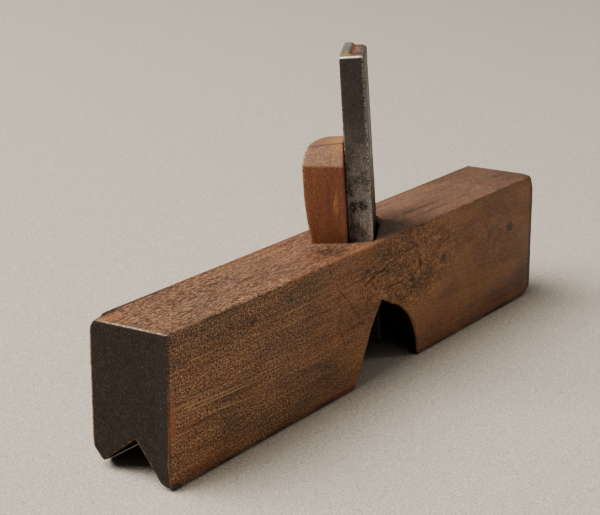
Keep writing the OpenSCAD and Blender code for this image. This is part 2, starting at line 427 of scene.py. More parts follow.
# ---------------------------------------------------------------- wedge
wv, wq = nets(f_wedge, (-7.4, 7.6, -29.4), (26.0, 26.0, 36.2), 0.5)
wg = unit(gradient(f_wedge, wv))
wdent = 0.05 * (0.5 + 0.5 * vnoise(wv / np.array([3.0, 3.0, 14.0]), 51))
wvl = wv - wg * wdent[:, None]
wslope = step(0.15, 0.5, wg[:, 2])
edge_a = np.abs(-0.825 * (wv[:, 0] + 3.75) - 0.157 * (wv[:, 1] - 8.65) + 0.542 * (wv[:, 2] - 27.15))
outer_near = np.exp(-((-(wv[:, 0] - WALL_AT[0]) * math.sin(WALL_TURN) + (wv[:, 1] - WALL_AT[1]) * math.cos(WALL_TURN) - swell(wv[:, 2])) / 1.1) ** 2)
wfront = step(0.5, 0.9, -wg[:, 0])
bow = np.sqrt((wv[:, 0] - 6) ** 2 + (wv[:, 2] + 23.1) ** 2) - 58
flat = -0.825 * (wv[:, 0] + 3.75) - 0.157 * (wv[:, 1] - 8.65) + 0.542 * (wv[:, 2] - 27.15)
crown = step(-0.1, 0.25, bow - flat) * wslope
ridge = np.exp(-(((bow - flat) / 0.35) ** 2)) * (bow > -0.8) * wslope
wedge = build("plane_wedge", world(wvl), wq, {"cut": wslope, "facet": (edge_a < 0.25).astype(float), "corner": outer_near, "front": wfront, "crown": crown, "ridge": ridge}, {"loc": wvl * MM})
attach(wedge, "wedge")
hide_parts("wedge")


# ---------------------------------------------------------------- material helpers
def srgb(h):
    h = h.lstrip("#")
    out = []
    for i in (0, 2, 4):
        c = int(h[i : i + 2], 16) / 255
        out.append(c / 12.92 if c <= 0.04045 else ((c + 0.055) / 1.055) ** 2.4)
    return (*out, 1.0)


class Mat:
    def __init__(self, name):
        self.m = bpy.data.materials.new(name)
        self.m.use_nodes = True
        self.t = self.m.node_tree
        self.t.nodes.clear()
        self.out = self.t.nodes.new("ShaderNodeOutputMaterial")
        self.b = self.t.nodes.new("ShaderNodeBsdfPrincipled")
        self.t.links.new(self.b.outputs[0], self.out.inputs[0])

    def link(self, a, b):
        self.t.links.new(a, b)

    def coords(self):
        return self.t.nodes.new("ShaderNodeTexCoord").outputs["Object"]

    def attr(self, name, vector=False):
        a = self.t.nodes.new("ShaderNodeAttribute")
        a.attribute_name = name
        return a.outputs["Vector" if vector else "Fac"]

    def mapping(self, src, scale=(1, 1, 1), rot=(0, 0, 0), loc=(0, 0, 0)):
        m = self.t.nodes.new("ShaderNodeMapping")
        m.inputs["Scale"].default_value = scale
        m.inputs["Rotation"].default_value = rot
        m.inputs["Location"].default_value = loc
        self.link(src, m.inputs["Vector"])
        return m.outputs[0]

    def noise(self, src, scale=1.0, detail=4.0, rough=0.55, distort=0.0, out="Fac"):
        n = self.t.nodes.new("ShaderNodeTexNoise")
        n.inputs["Scale"].default_value = scale
        n.inputs["Detail"].default_value = detail
        n.inputs["Roughness"].default_value = rough
        n.inputs["Distortion"].default_value = distort
        self.link(src, n.inputs["Vector"])
        return n.outputs[out]

    def voronoi(self, src, scale=1.0, feature="F1", rand=1.0):
        n = self.t.nodes.new("ShaderNodeTexVoronoi")
        n.feature = feature
        n.inputs["Scale"].default_value = scale
        n.inputs["Randomness"].default_value = rand
        self.link(src, n.inputs["Vector"])
        return n.outputs["Distance"]

    def ramp(self, src, lo, hi, a=0.0, b=1.0, smooth=True):
        r = self.t.nodes.new("ShaderNodeMapRange")
        r.interpolation_type = "SMOOTHSTEP" if smooth else "LINEAR"
        r.inputs["From Min"].default_value = lo
        r.inputs["From Max"].default_value = hi
        r.inputs["To Min"].default_value = a
        r.inputs["To Max"].default_value = b
        self.link(src, r.inputs["Value"])
        return r.outputs[0]

    def math(self, op, a, b=None, clamp=False):
        m = self.t.nodes.new("ShaderNodeMath")
        m.operation = op
        m.use_clamp = clamp
        for i, v in enumerate((a, b)):
            if v is None:
                continue
            if isinstance(v, (int, float)):
                m.inputs[i].default_value = v
            else:
                self.link(v, m.inputs[i])
        return m.outputs[0]

    def scale_add(self, a, k, c):
        m = self.t.nodes.new("ShaderNodeMath")
        m.operation = "MULTIPLY_ADD"
        self.link(a, m.inputs[0])
        m.inputs[1].default_value, m.inputs[2].default_value = k, c
        return m.outputs[0]

    def mul(self, a, b):
        return self.math("MULTIPLY", a, b)

    def add(self, a, b):
        return self.math("ADD", a, b)

    def mix(self, fac, a, b, blend="MIX"):
        m = self.t.nodes.new("ShaderNodeMix")
        m.data_type = "RGBA"
        m.blend_type = blend
        for key, v in ((0, fac), (6, a), (7, b)):
            if isinstance(v, (int, float)):
                m.inputs[key].default_value = v
            elif isinstance(v, (tuple, list)):
                m.inputs[key].default_value = v
            else:
                self.link(v, m.inputs[key])
        return m.outputs[2]

    def fmix(self, fac, a, b):
        m = self.t.nodes.new("ShaderNodeMix")
        m.data_type = "FLOAT"
        for key, v in ((0, fac), (2, a), (3, b)):
            self.link(v, m.inputs[key])
        return m.outputs[0]

    def grey(self, src, lo, hi, a, b):
        """A grey that goes from a to b; a colour, so that Cycles adds no conversion."""
        return self.mix(self.ramp(src, lo, hi, 0.0, 1.0, False), (a, a, a, 1), (b, b, b, 1))

    def split(self, src):
        s = self.t.nodes.new("ShaderNodeSeparateXYZ")
        self.link(src, s.inputs[0])
        return s.outputs

    def bump(self, height, strength, distance, normal=None):
        b = self.t.nodes.new("ShaderNodeBump")
        b.inputs["Strength"].default_value = strength
        b.inputs["Distance"].default_value = distance
        self.link(height, b.inputs["Height"])
        if normal is not None:
            self.link(normal, b.inputs["Normal"])
        return b.outputs[0]

    def spot(self, src, at, size):
        """1 at a point in metres, 0 past size."""
        v = self.mapping(src, scale=[1 / s for s in size], loc=[-a / s for a, s in zip(at, size)])
        n = self.t.nodes.new("ShaderNodeVectorMath")
        n.operation = "LENGTH"
        self.link(v, n.inputs[0])
        return self.ramp(n.outputs["Value"], 1.0, 0.0)


# ---------------------------------------------------------------- stock wood
m = Mat("stock_beech")
co = m.coords()
cx, cy, cz = m.split(co)
up = m.attr("up")
arr = m.attr("arris")
endm = m.attr("end")
inn = m.attr("inside")
rimm = m.attr("rim")
# broad colour: brown with orange, olive and purple-grey areas
area1 = m.noise(m.mapping(co, (34, 80, 80)), 1.0, 4.0, 0.62, 0.4)
area2 = m.noise(m.mapping(co, (75, 150, 150), loc=(3, 1, 2)), 1.0, 4.0, 0.65, 0.3)
area3 = m.noise(m.mapping(co, (210, 330, 330), loc=(7, 5, 1)), 1.0, 4.0, 0.65)
long1 = m.noise(m.mapping(co, (12, 420, 420)), 1.0, 3.0, 0.55, 0.3)
side = m.mix(m.ramp(area1, 0.36, 0.66), srgb("#9A7450"), srgb("#74553F"))
side = m.mix(m.ramp(area2, 0.50, 0.72, 0.0, 0.6), side, srgb("#99714A"))
side = m.mix(m.mul(m.ramp(area3, 0.52, 0.74, 0.0, 0.7), m.ramp(cx, -0.03, 0.05, 1.0, 0.75)), side, srgb("#573F30"))
side = m.mix(m.mul(m.ramp(long1, 0.5, 0.75, 0.0, 0.4), m.ramp(cx, -0.03, 0.03, 1.0, 0.3)), side, srgb("#6E4C33"))
topc = m.mix(m.ramp(area1, 0.36, 0.66), srgb("#A47C5F"), srgb("#8D6750"))
topc = m.mix(m.ramp(area2, 0.50, 0.72, 0.0, 0.6), topc, srgb("#AC7650"))
topc = m.mix(m.ramp(area3, 0.56, 0.78, 0.0, 0.3), topc, srgb("#7E5D4A"))
topc = m.mix(m.ramp(long1, 0.5, 0.75, 0.0, 0.35), topc, srgb("#7A553E"))
topc = m.mix(m.ramp(cx, 0.05, 0.12, 0.0, 0.50), topc, srgb("#5E4535"))
side = m.mix(m.ramp(cx, 0.03, 0.09, 0.0, 0.3), side, srgb("#5F4030"))
side = m.mix(1.0, side, m.mix(m.ramp(cx, -0.055, 0.0), (0.79, 0.66, 0.54, 1), (1.04, 0.79, 0.58, 1)), "MULTIPLY")
side = m.mix(m.mul(m.spot(co, (-0.100, -0.0148, 0.044), (0.060, 0.010, 0.012)), 0.35), side, srgb("#4C3A30"))
olive = m.noise(m.mapping(co, (24, 330, 330), loc=(4, 1, 7)), 1.0, 4.0, 0.6, 0.3)
topc = m.mix(m.mul(m.ramp(olive, 0.50, 0.66), m.ramp(cx, -0.03, 0.02, 0.45, 0.25)), topc, srgb("#6F6453"))
topc = m.mix(m.mul(m.ramp(olive, 0.44, 0.30), m.ramp(cx, 0.0, 0.03, 0.42, 0.1)), topc, srgb("#C47F58"))
topc = m.mix(1.0, topc, m.mix(m.ramp(cx, -0.115, -0.060), (0.68, 0.63, 0.59, 1), (0.785, 0.715, 0.67, 1)), "MULTIPLY")
topc = m.mix(m.ramp(cx, 0.010, 0.045), topc, (0.98, 1.01, 1.13, 1), "MULTIPLY")
# painted reflection of the wedge on the top in front of it: redder and darker
topc = m.mix(m.spot(co, (-0.022, -0.0060, 0.0495), (0.016, 0.012, 0.004)), topc, (1.0, 0.68, 0.48, 1), "MULTIPLY")
base = m.mix(up, side, topc)
# marks with a place of their own; on the top, the ones beside the iron and in front of the wedge are painted: the
# iron's shadow and the wedge's reflection
dark = None
for at, size, k in (
    ((-0.090, -0.0148, 0.013), (0.020, 0.006, 0.012), 0.30),
    ((-0.071, -0.0148, 0.006), (0.008, 0.006, 0.007), 0.45),
    ((-0.034, -0.0148, 0.013), (0.010, 0.006, 0.009), 0.55),
    ((-0.050, -0.0148, 0.044), (0.030, 0.006, 0.007), 0.35),
    ((-0.108, -0.0148, 0.046), (0.018, 0.006, 0.006), 0.30),
    ((0.113, -0.0148, 0.009), (0.016, 0.006, 0.013), 0.55),
    ((0.080, -0.0148, 0.030), (0.020, 0.006, 0.012), 0.25),
    # the next two: painted shadow of the iron, on the top to its right
    ((0.043, -0.0020, 0.0495), (0.026, 0.011, 0.004), 0.12),
    ((0.066, 0.0010, 0.0495), (0.026, 0.006, 0.004), 0.18),
    ((0.113, -0.0060, 0.0495), (0.016, 0.012, 0.004), 0.35),
    # painted reflection of the wedge, darkening the top in front of it
    ((-0.019, -0.0060, 0.0495), (0.013, 0.013, 0.003), 0.72),
):
    d = m.mul(m.spot(co, at, size), k)
    dark = d if dark is None else m.math("MAXIMUM", dark, d)
rag = m.noise(m.mapping(co, (500, 700, 700)), 1.0, 4.0, 0.6)
base = m.mix(m.mul(dark, m.ramp(rag, 0.3, 0.65, 0.7, 1.5)), base, srgb("#3A302B"))
shade = None
for at, size, k in (
    ((-0.0860, -0.0148, 0.0215), (0.016, 0.004, 0.0045), 0.75),
    ((-0.0900, -0.0148, 0.0125), (0.010, 0.004, 0.0060), 0.65),
    ((-0.1060, -0.0148, 0.0170), (0.012, 0.004, 0.0040), 0.40),
    ((-0.0920, -0.0148, 0.0430), (0.026, 0.004, 0.0065), 0.60),
    ((-0.0640, -0.0148, 0.0385), (0.014, 0.004, 0.0060), 0.40),
    ((-0.0330, -0.0148, 0.0120), (0.011, 0.004, 0.0080), 0.30),
    ((-0.0420, -0.0148, 0.0420), (0.020, 0.004, 0.0050), 0.35),
    ((0.0300, -0.0148, 0.0285), (0.014, 0.004, 0.0032), 0.60),
    ((0.0960, -0.0148, 0.0060), (0.020, 0.004, 0.0060), 0.45),
):
    d = m.mul(m.spot(co, at, size), k)
    shade = d if shade is None else m.math("MAXIMUM", shade, d)
ragco = m.t.nodes.new("ShaderNodeVectorMath")
ragco.operation = "MULTIPLY_ADD"
m.link(m.noise(co, 620.0, 3.0, 0.6, out="Color"), ragco.inputs[0])
ragco.inputs[1].default_value = (0.004, 0.004, 0.004)
m.link(m.mapping(co, loc=(-0.002, -0.002, -0.002)), ragco.inputs[2])
ragco = ragco.outputs["Vector"]
dots = None
for at, r in (
    ((-0.0770, -0.0148, 0.0414), 0.0012),
    ((0.1006, -0.0148, 0.0325), 0.0022),
    ((0.0470, -0.0148, 0.0330), 0.0013),
    ((0.0290, -0.0148, 0.0345), 0.0012),
    ((0.0230, -0.0148, 0.0300), 0.0013),
    ((-0.0080, -0.0148, 0.0410), 0.0012),
    ((-0.0560, -0.0148, 0.0435), 0.0009),
):
    d = m.ramp(m.spot(ragco, at, (r * 1.9, r * 3, r * 1.4)), 0.05, 0.6)
    dots = d if dots is None else m.math("MAXIMUM", dots, d)

warm = None
for at, size, k in (
    ((0.026, -0.0148, 0.0445), (0.0045, 0.004, 0.0035), 0.9),
    ((-0.001, -0.0148, 0.0240), (0.0035, 0.004, 0.0050), 0.8),
    ((-0.015, -0.0148, 0.0030), (0.0050, 0.004, 0.0045), 0.7),
    ((-0.1195, -0.0148, 0.022), (0.0030, 0.003, 0.0130), 0.9),
    ((-0.116, 0.0100, 0.0495), (0.0080, 0.0060, 0.003), 0.9),
    ((-0.006, -0.0110, 0.0495), (0.0140, 0.0040, 0.003), 0.6),
    ((-0.095, -0.0148, 0.0030), (0.0300, 0.004, 0.0050), 0.2),
    ((0.090, -0.0148, 0.0250), (0.0100, 0.004, 0.0060), 0.5),
    ((0.100, -0.0148, 0.0440), (0.0140, 0.004, 0.0040), 0.4),
    ((-0.020, -0.0148, 0.0380), (0.0160, 0.004, 0.0060), 0.4),
    ((0.040, -0.0148, 0.0130), (0.0160, 0.004, 0.0060), 0.4),
):
    d = m.mul(m.spot(co, at, size), k)
    warm = d if warm is None else m.math("MAXIMUM", warm, d)
base = m.mix(m.mul(warm, m.ramp(rag, 0.35, 0.6, 0.25, 0.8)), base, srgb("#A8633A"))
# grain specks, partly painted glints off the pores, strong in front and weaker toward the far end
amp = m.math("MINIMUM", m.ramp(cx, -0.078, -0.030, 1.0, 0.66), m.ramp(cx, -0.020, 0.055, 1.0, 0.3))
s1 = m.fmix(up, m.noise(m.mapping(co, (1350, 2100, 2100)), 1.0, 1.0, 0.6), m.noise(m.mapping(co, (460, 3000, 3000)), 1.0, 1.5, 0.7))
s2 = m.noise(m.mapping(co, (800, 1700, 1700)), 1.0, 2.0, 0.6)
s3 = m.noise(m.mapping(co, (420, 2200, 2200), loc=(1, 2, 3)), 1.0, 1.0, 0.6)
f1 = m.mix(up, m.mix(m.ramp(s1, 0.40, 0.54, 0.0, 1.0, False), (0.30, 0.14, 0.09, 1), (1.62, 1.60, 1.58, 1)), m.mix(m.ramp(s1, 0.38, 0.56, 0.0, 1.0, False), (0.36, 0.24, 0.19, 1), (1.34, 1.36, 1.38, 1)))
f2 = m.grey(s2, 0.34, 0.66, 0.52, 1.48)
base = m.mix(amp, base, f1, "MULTIPLY")
# the light specks are partly painted glints off the pores
base = m.mix(m.mul(amp, m.mul(m.ramp(s1, 0.52, 0.60, 0.0, 0.9), m.ramp(up, 0.0, 1.0, 1.0, 0.5))), base, m.mix(up, srgb("#AC8965"), srgb("#B0906F")))
base = m.mix(amp, base, f2, "MULTIPLY")
fleck = m.mul(m.ramp(s3, 0.58, 0.68), m.ramp(up, 0.0, 1.0, 0.35, 0.6))
base = m.mix(m.mul(fleck, m.ramp(cx, -0.12, 0.11, 0.9, 0.3)), base, srgb("#4B3021"))
base = m.mix(m.mul(shade, m.ramp(rag, 0.34, 0.58, 0.25, 1.0)), base, (0.50, 0.42, 0.47, 1), "MULTIPLY")
crump = m.noise(m.mapping(co, (330, 560, 560), rot=(0, 0.6, 0)), 1.0, 4.0, 0.62, 0.9)
patch = m.math("MAXIMUM", m.ramp(m.spot(co, (0.022, -0.0148, 0.036), (0.055, 0.010, 0.024)), 0.0, 0.6), m.mul(m.spot(co, (-0.02, -0.0148, 0.026), (0.045, 0.010, 0.03)), 0.45))
patch = m.math("MAXIMUM", patch, m.mul(m.spot(co, (0.080, -0.0148, 0.030), (0.050, 0.010, 0.03)), 0.4))
patch = m.mul(patch, m.ramp(up, 0.6, 0.2))
base = m.mix(m.mul(patch, m.ramp(crump, 0.46, 0.62, 0.0, 0.40)), base, srgb("#A67B57"))
# painted light and shade of the crumpled relief: lit chips and lumps, shaded creases and fold lines
chips = m.noise(m.mapping(co, (620, 1000, 1000), rot=(0, 0.5, 0), loc=(6, 2, 5)), 1.0, 3.0, 0.65, 0.6)
base = m.mix(patch, base, m.grey(chips, 0.36, 0.62, 0.62, 1.38), "MULTIPLY")
crease_shading = m.grey(crump, 0.40, 0.60, 0.74, 1.26)
base = m.mix(patch, base, crease_shading, "MULTIPLY")
base = m.mix(patch, base, (1.18, 1.22, 1.25, 1), "MULTIPLY")
folds = m.noise(m.mapping(co, (210, 330, 420), rot=(0, 0.75, 0), loc=(2, 2, 9)), 1.0, 3.0, 0.6, 0.8)
fold_shade_lines = m.ramp(m.math("ABSOLUTE", m.add(folds, -0.5)), 0.0, 0.028, 1.0, 0.0)
base = m.mix(m.mul(m.mul(fold_shade_lines, patch), m.ramp(crump, 0.56, 0.42, 0.10, 0.50)), base, srgb("#3A271B"))
# fine thin lines along the length, in bunches
LONG_LINES = (
    (-0.1166, -0.0923, 0.0275, 0.0255),
    (-0.1157, -0.0745, 0.0247, 0.0225),
    (-0.1123, -0.0689, 0.0230, 0.0215),
    (-0.1175, -0.1021, 0.0288, 0.0276),
    (-0.0987, -0.0695, 0.0189, 0.0166),
    (-0.1172, -0.0982, 0.0227, 0.0213),
    (-0.1179, -0.1036, 0.0314, 0.0304),
    (-0.0885, -0.0722, 0.0313, 0.0305),
    (-0.1118, -0.0915, 0.0386, 0.0381),
    (-0.1055, -0.0889, 0.0140, 0.0127),
    (-0.0723, -0.0527, 0.0258, 0.0255),
)
line = m.noise(m.mapping(co, (11, 1650, 1650)), 1.0, 1.0, 0.5)
bunch = m.noise(m.mapping(co, (22, 120, 120), loc=(2, 9, 4)), 1.0, 3.0, 0.55)
fade = m.ramp(cx, -0.085, -0.035, 1.0, 0.22)
lines = m.mul(m.mul(m.ramp(line, 0.62, 0.69), m.ramp(bunch, 0.46, 0.56, 0.15, 0.8)), fade)
thin = m.noise(m.mapping(co, (16, 1150, 1150), loc=(8, 3, 6)), 1.0, 2.0, 0.6)
base = m.mix(m.mul(m.ramp(cx, -0.06, 0.0, 0.75, 0.15), m.ramp(up, 0.6, 0.2)), base, m.grey(thin, 0.36, 0.62, 0.62, 1.36), "MULTIPLY")
long = None
sidef = m.ramp(cy, -0.0138, -0.0144)
for x0, x1, z0, z1 in LONG_LINES:
    k = (z1 - z0) / (x1 - x0)
    d = m.math("ABSOLUTE", m.add(cz, m.scale_add(cx, -k, k * x0 - z0)))
    d = m.mul(m.ramp(d, 0.00028, 0.00014), m.mul(m.ramp(cx, x0, x0 + 0.004), m.ramp(cx, x1, x1 - 0.02)))
    long = d if long is None else m.math("MAXIMUM", long, d)
base = m.mix(m.mul(m.mul(long, sidef), m.ramp(s1, 0.38, 0.5, 0.5, 0.95)), base, srgb("#C79C6E"))
base = m.mix(m.mul(m.mul(lines, m.ramp(s1, 0.36, 0.5, 0.45, 1.0)), m.ramp(up, 0.0, 1.0, 0.9, 0.4)), base, srgb("#C29A6C"))
base = m.mix(m.mul(dots, 0.8), base, srgb("#2A1A10"))
line2 = m.noise(m.mapping(co, (30, 1000, 1000), loc=(5, 5, 5)), 1.0, 2.0, 0.5)
stripe = m.math("MAXIMUM", m.mul(m.ramp(cx, 0.0, 0.04, 0.4, 0.12), m.ramp(line2, 0.56, 0.68)), m.mul(m.mul(m.ramp(line2, 0.5, 0.6), m.spot(co, (0.050, -0.0030, 0.0495), (0.034, 0.010, 0.003))), 0.75))
base = m.mix(stripe, base, srgb("#4A3022"))
# cracks in the side left of the throat, then ones that run along it
wob = m.scale_add(m.noise(m.mapping(co, (330, 330, 330)), 1.0, 2.0, 0.6), 0.0022, -0.0011)
cuts = None
STEEP = (
    (-0.0251, 0.0314, -0.0269, 0.0255, 0.00050),
    (-0.0269, 0.0255, -0.0237, 0.0214, 0.00045),
    (-0.0237, 0.0214, -0.0227, 0.0179, 0.00040),
    (-0.0186, 0.0279, -0.0212, 0.0239, 0.00038),
    (-0.0207, 0.0337, -0.0134, 0.0264, 0.00040),
    (-0.0258, 0.0383, -0.0213, 0.0339, 0.00035),
    (-0.0322, 0.0479, -0.0316, 0.0446, 0.00040),
    (-0.0023, 0.0405, -0.0049, 0.0368, 0.00040),
    (0.0087, 0.0400, 0.0116, 0.0371, 0.00040),
)
FLAT = (
    (-0.0089, 0.0368, 0.0066, 0.0398, 0.00055),
    (-0.0224, 0.0232, -0.0107, 0.0235, 0.00030),
    (-0.0395, 0.0255, -0.0269, 0.0245, 0.00028),
    (-0.0468, 0.0345, -0.0321, 0.0336, 0.00025),
    (-0.0503, 0.0169, -0.0369, 0.0164, 0.00028),
    (0.0062, 0.0315, 0.0174, 0.0316, 0.00040),
    (0.0134, 0.0248, 0.0234, 0.0252, 0.00040),
    (0.0171, 0.0417, 0.0271, 0.0426, 0.00040),
)
for pairs, across, along in ((STEEP, m.add(cx, wob), cz), (FLAT, m.add(cz, wob), cx)):
    for x0, z0, x1, z1, w in pairs:
        if pairs is STEEP:
            a0, b0, a1, b1 = (x0, z0, x1, z1) if z0 < z1 else (x1, z1, x0, z0)
        else:
            a0, b0, a1, b1 = z0, x0, z1, x1
        k = (a1 - a0) / (b1 - b0)
        d = m.math("ABSOLUTE", m.add(across, m.scale_add(along, -k, k * b0 - a0)))
        span = m.math("ABSOLUTE", m.add(along, -(b0 + b1) / 2))
        d = m.mul(m.ramp(d, w, w * 0.35), m.ramp(span, (b1 - b0) / 2, (b1 - b0) / 2 - 0.0007))
        cuts = d if cuts is None else m.math("MAXIMUM", cuts, d)
base = m.mix(m.mul(m.mul(cuts, sidef), 0.85), base, srgb("#27180F"))
# eased edges
scuff = m.ramp(m.noise(m.mapping(co, (160, 300, 300)), 1.0, 4.0, 0.6), 0.45, 0.7)
base = m.mix(m.mul(m.mul(arr, scuff), 0.35), base, srgb("#B9825A"))
glow = None
for at, size, k in (
    ((-0.0010, -0.0148, 0.0240), (0.0030, 0.003, 0.0050), 0.85),
    ((-0.0150, -0.0148, 0.0035), (0.0060, 0.003, 0.0050), 0.55),
    ((0.0260, -0.0148, 0.0445), (0.0040, 0.003, 0.0035), 0.60),
    ((-0.0100, -0.0146, 0.0492), (0.0170, 0.003, 0.0020), 0.70),
    ((-0.1170, 0.0110, 0.0495), (0.0070, 0.006, 0.0030), 0.60),
    ((-0.0300, -0.0148, 0.0250), (0.0280, 0.003, 0.0120), 0.22),
    ((0.0400, -0.0148, 0.0130), (0.0240, 0.003, 0.0100), 0.25),
):
    d = m.mul(m.spot(co, at, size), k)
    glow = d if glow is None else m.math("MAXIMUM", glow, d)
glow = m.math("MAXIMUM", glow, m.math("MAXIMUM", m.mul(m.spot(co, (-0.1196, -0.0148, 0.021), (0.0034, 0.003, 0.0140)), 0.8), m.math("MAXIMUM", m.mul(m.spot(co, (-0.101, -0.0148, 0.0050), (0.030, 0.003, 0.0075)), 0.35), m.mul(m.spot(co, (-0.075, -0.0148, 0.017), (0.020, 0.003, 0.008)), 0.2))))
base = m.mix(m.mul(glow, m.ramp(s2, 0.35, 0.6, 0.35, 1.0)), base, srgb("#A4613A"))
# darker along the bottom edge: painted shade in the eased edge, partly a worn line
bottom_shade_and_wear = m.mul(m.ramp(cz, 0.0024, 0.0010), m.ramp(m.noise(m.mapping(co, (60, 300, 300)), 1.0, 3.0, 0.6), 0.35, 0.6, 0.2, 1.0))
base = m.mix(m.mul(bottom_shade_and_wear, 0.85), base, srgb("#1E1713"))
farline = m.ramp(m.spot(co, (0.0, 0.0148, 0.0495), (9.0, 0.0022, 0.0016)), 0.0, 0.5)
base = m.mix(m.mul(m.mul(farline, m.ramp(rag, 0.3, 0.55, 0.5, 1.0)), m.mul(m.ramp(cz, 0.0478, 0.0488, 0.3, 0.85), m.ramp(cx, -0.100, -0.070, 1.0, 0.35))), base, srgb("#3F2F25"))
# sawn end, dark with bright dust in its pores
endn = m.noise(m.mapping(co, (900, 500, 700)), 1.0, 4.0, 0.65)
ends = m.noise(co, 1700.0, 2.0, 0.7)
endc = m.mix(m.ramp(endn, 0.35, 0.7), srgb("#271F17"), srgb("#372D23"))
endc = m.mix(1.0, endc, m.grey(ends, 0.36, 0.64, 0.12, 1.25), "MULTIPLY")
endc = m.mix(m.ramp(ends, 0.70, 0.78, 0.0, 0.8), endc, srgb("#8C7F6C"))
base = m.mix(endm, base, endc)
# darker at two corners of the near end; at the lower corner on the throat side it is painted shade in the rounding
dark_end_corners = m.math("MAXIMUM", m.spot(co, (-0.1200, -0.0148, 0.0008), (0.0075, 0.0040, 0.0026)), m.mul(m.spot(co, (-0.1150, 0.0148, 0.0490), (0.0120, 0.0048, 0.0040)), 0.9))
base = m.mix(m.mul(m.ramp(dark_end_corners, 0.05, 0.5), m.ramp(rag, 0.3, 0.55, 0.45, 0.9)), base, srgb("#2C2520"))
edge = m.math("MAXIMUM", m.ramp(m.spot(co, (0.1206, -0.0148, 0.025), (0.0040, 0.0040, 9.0)), 0.1, 0.6), m.spot(co, (0.1206, -0.0148, 0.0495), (0.006, 0.006, 0.005)))
base = m.mix(m.mul(edge, 0.75), base, srgb("#2E221C"))
# painted highlights along the near end's top edge and its two upright edges, broken up by noise
tip = m.mul(m.spot(co, (-0.12052, 0.0, 0.04942), (0.00042, 9.0, 0.00042)), m.ramp(cy, 0.0115, 0.0060, 0.35, 1.0))
tipn = m.ramp(m.noise(m.mapping(co, (500, 560, 500)), 1.0, 4.0, 0.7), 0.45, 0.57, 0.08, 1.0)
tip2 = m.spot(co, (-0.12045, -0.0146, 0.025), (0.0006, 0.0006, 9.0))
tipn2 = m.ramp(m.noise(m.mapping(co, (400, 400, 190), loc=(3, 3, 3)), 1.0, 3.0, 0.6), 0.6, 0.7)
tip3 = m.spot(co, (-0.12050, 0.0147, 0.030), (0.0005, 0.0005, 9.0))
painted_edge_highlights = m.math("MAXIMUM", m.mul(tip, tipn), m.math("MAXIMUM", m.mul(tip2, tipn2), m.mul(m.mul(tip3, tipn), 0.45)))
worn = m.mul(m.ramp(m.spot(co, (-0.1206, -0.0132, 0.028), (0.0013, 0.0052, 0.042)), 0.0, 0.5), m.ramp(rag, 0.3, 0.5, 0.55, 1.0))
base = m.mix(m.mul(m.mul(worn, endm), 0.6), base, m.mix(m.ramp(ends, 0.64, 0.72), srgb("#2A2122"), srgb("#756B69")))
wave = m.mul(m.add(m.noise(m.mapping(co, (0, 0, 150), loc=(0.3, 0.7, 0)), 1.0, 3.0, 0.6), -0.5), 0.0016)
strip = m.ramp(m.add(m.add(cy, 0.0148), m.add(m.mul(m.ramp(cz, 0.036, 0.004, 0.00012, 0.00100, False), -1.0), wave)), 0.00014, -0.00014)
strip = m.mul(m.mul(endm, strip), m.ramp(cx, -0.11, -0.115))
base = m.mix(m.mul(strip, 0.9), base, m.mix(m.ramp(ends, 0.40, 0.60), srgb("#4A3221"), srgb("#7A5434")))
base = m.mix(m.mul(painted_edge_highlights, 0.9), base, srgb("#CDBFA6"))
# inside the throat, mortise and groove: near-black painted shade, less dark just under the top
inside_shade = m.mix(m.ramp(long1, 0.3, 0.7), srgb("#17110D"), srgb("#241A13"))
inside_shade = m.mix(m.ramp(cz, 0.0440, 0.0490, 0.0, 0.8), inside_shade, srgb("#5A4230"))
base = m.mix(inn, base, inside_shade)
m.link(base, m.b.inputs["Base Color"])
rough = m.mul(m.ramp(m.add(m.mul(area2, 0.6), m.mul(s2, 0.4)), 0.3, 0.7, 0.42, 0.62), m.ramp(up, 0.0, 1.0, 1.0, 0.78))
m.link(m.mix(inn, rough, (0.9, 0.9, 0.9, 1)), m.b.inputs["Roughness"])
m.link(m.mix(m.math("MAXIMUM", m.math("MAXIMUM", inn, farline), m.mul(endm, 0.5)), m.mix(up, (0.30, 0.30, 0.30, 1), (0.42, 0.42, 0.42, 1)), (0.08, 0.08, 0.08, 1)), m.b.inputs["Specular IOR Level"])
# relief: crumpled patch over the throat, specks elsewhere
n0 = m.bump(m.mul(m.add(crump, m.mul(chips, 0.5)), patch), 1.0, 0.0026)
height = m.add(m.mul(s1, 0.5), m.add(m.mul(s2, 0.8), m.mul(fleck, -0.5)))
n1 = m.bump(m.mul(height, amp), 0.7, 0.00028, n0)
m.link(n1, m.b.inputs["Normal"])
stock.data.materials.append(m.m)

# ---------------------------------------------------------------- iron steel
m = Mat("iron_steel_old")
lo = m.attr("loc", True)
sx, sy, sz = m.split(lo)
mott = m.noise(m.mapping(lo, (230, 230, 160)), 1.0, 5.0, 0.62)
speck = m.noise(m.mapping(lo, (1400, 1400, 1100)), 1.0, 3.0, 0.6)
streak = m.noise(m.mapping(lo, (700, 700, 60)), 1.0, 3.0, 0.55)
down = m.ramp(sz, 0.047, 0.015)
# lighter just above the stock's top: painted light against the shade where the iron enters the stock
foot_painted_light = m.ramp(sz, 0.010, 0.001)
base = m.mix(down, srgb("#423935"), srgb("#7C766F"))
base = m.mix(m.mul(foot_painted_light, 0.6), base, srgb("#B5A490"))
base = m.mix(m.mul(m.ramp(mott, 0.42, 0.62, 0.0, 0.75), m.ramp(down, 0.0, 1.0, 0.5, 1.0)), base, srgb("#362C27"))
grit = m.noise(lo, 2300.0, 2.0, 0.6)
base = m.mix(m.mul(m.ramp(speck, 0.56, 0.70, 0.0, 0.75), m.ramp(down, 0.0, 1.0, 0.18, 0.9)), base, srgb("#AEA499"))
base = m.mix(m.ramp(down, 0.0, 1.0, 0.3, 0.9), base, m.ramp(grit, 0.38, 0.62, 0.45, 1.6, False), "MULTIPLY")
base = m.mix(m.ramp(streak, 0.55, 0.75, 0.0, 0.3), base, srgb("#5E4A3C"))
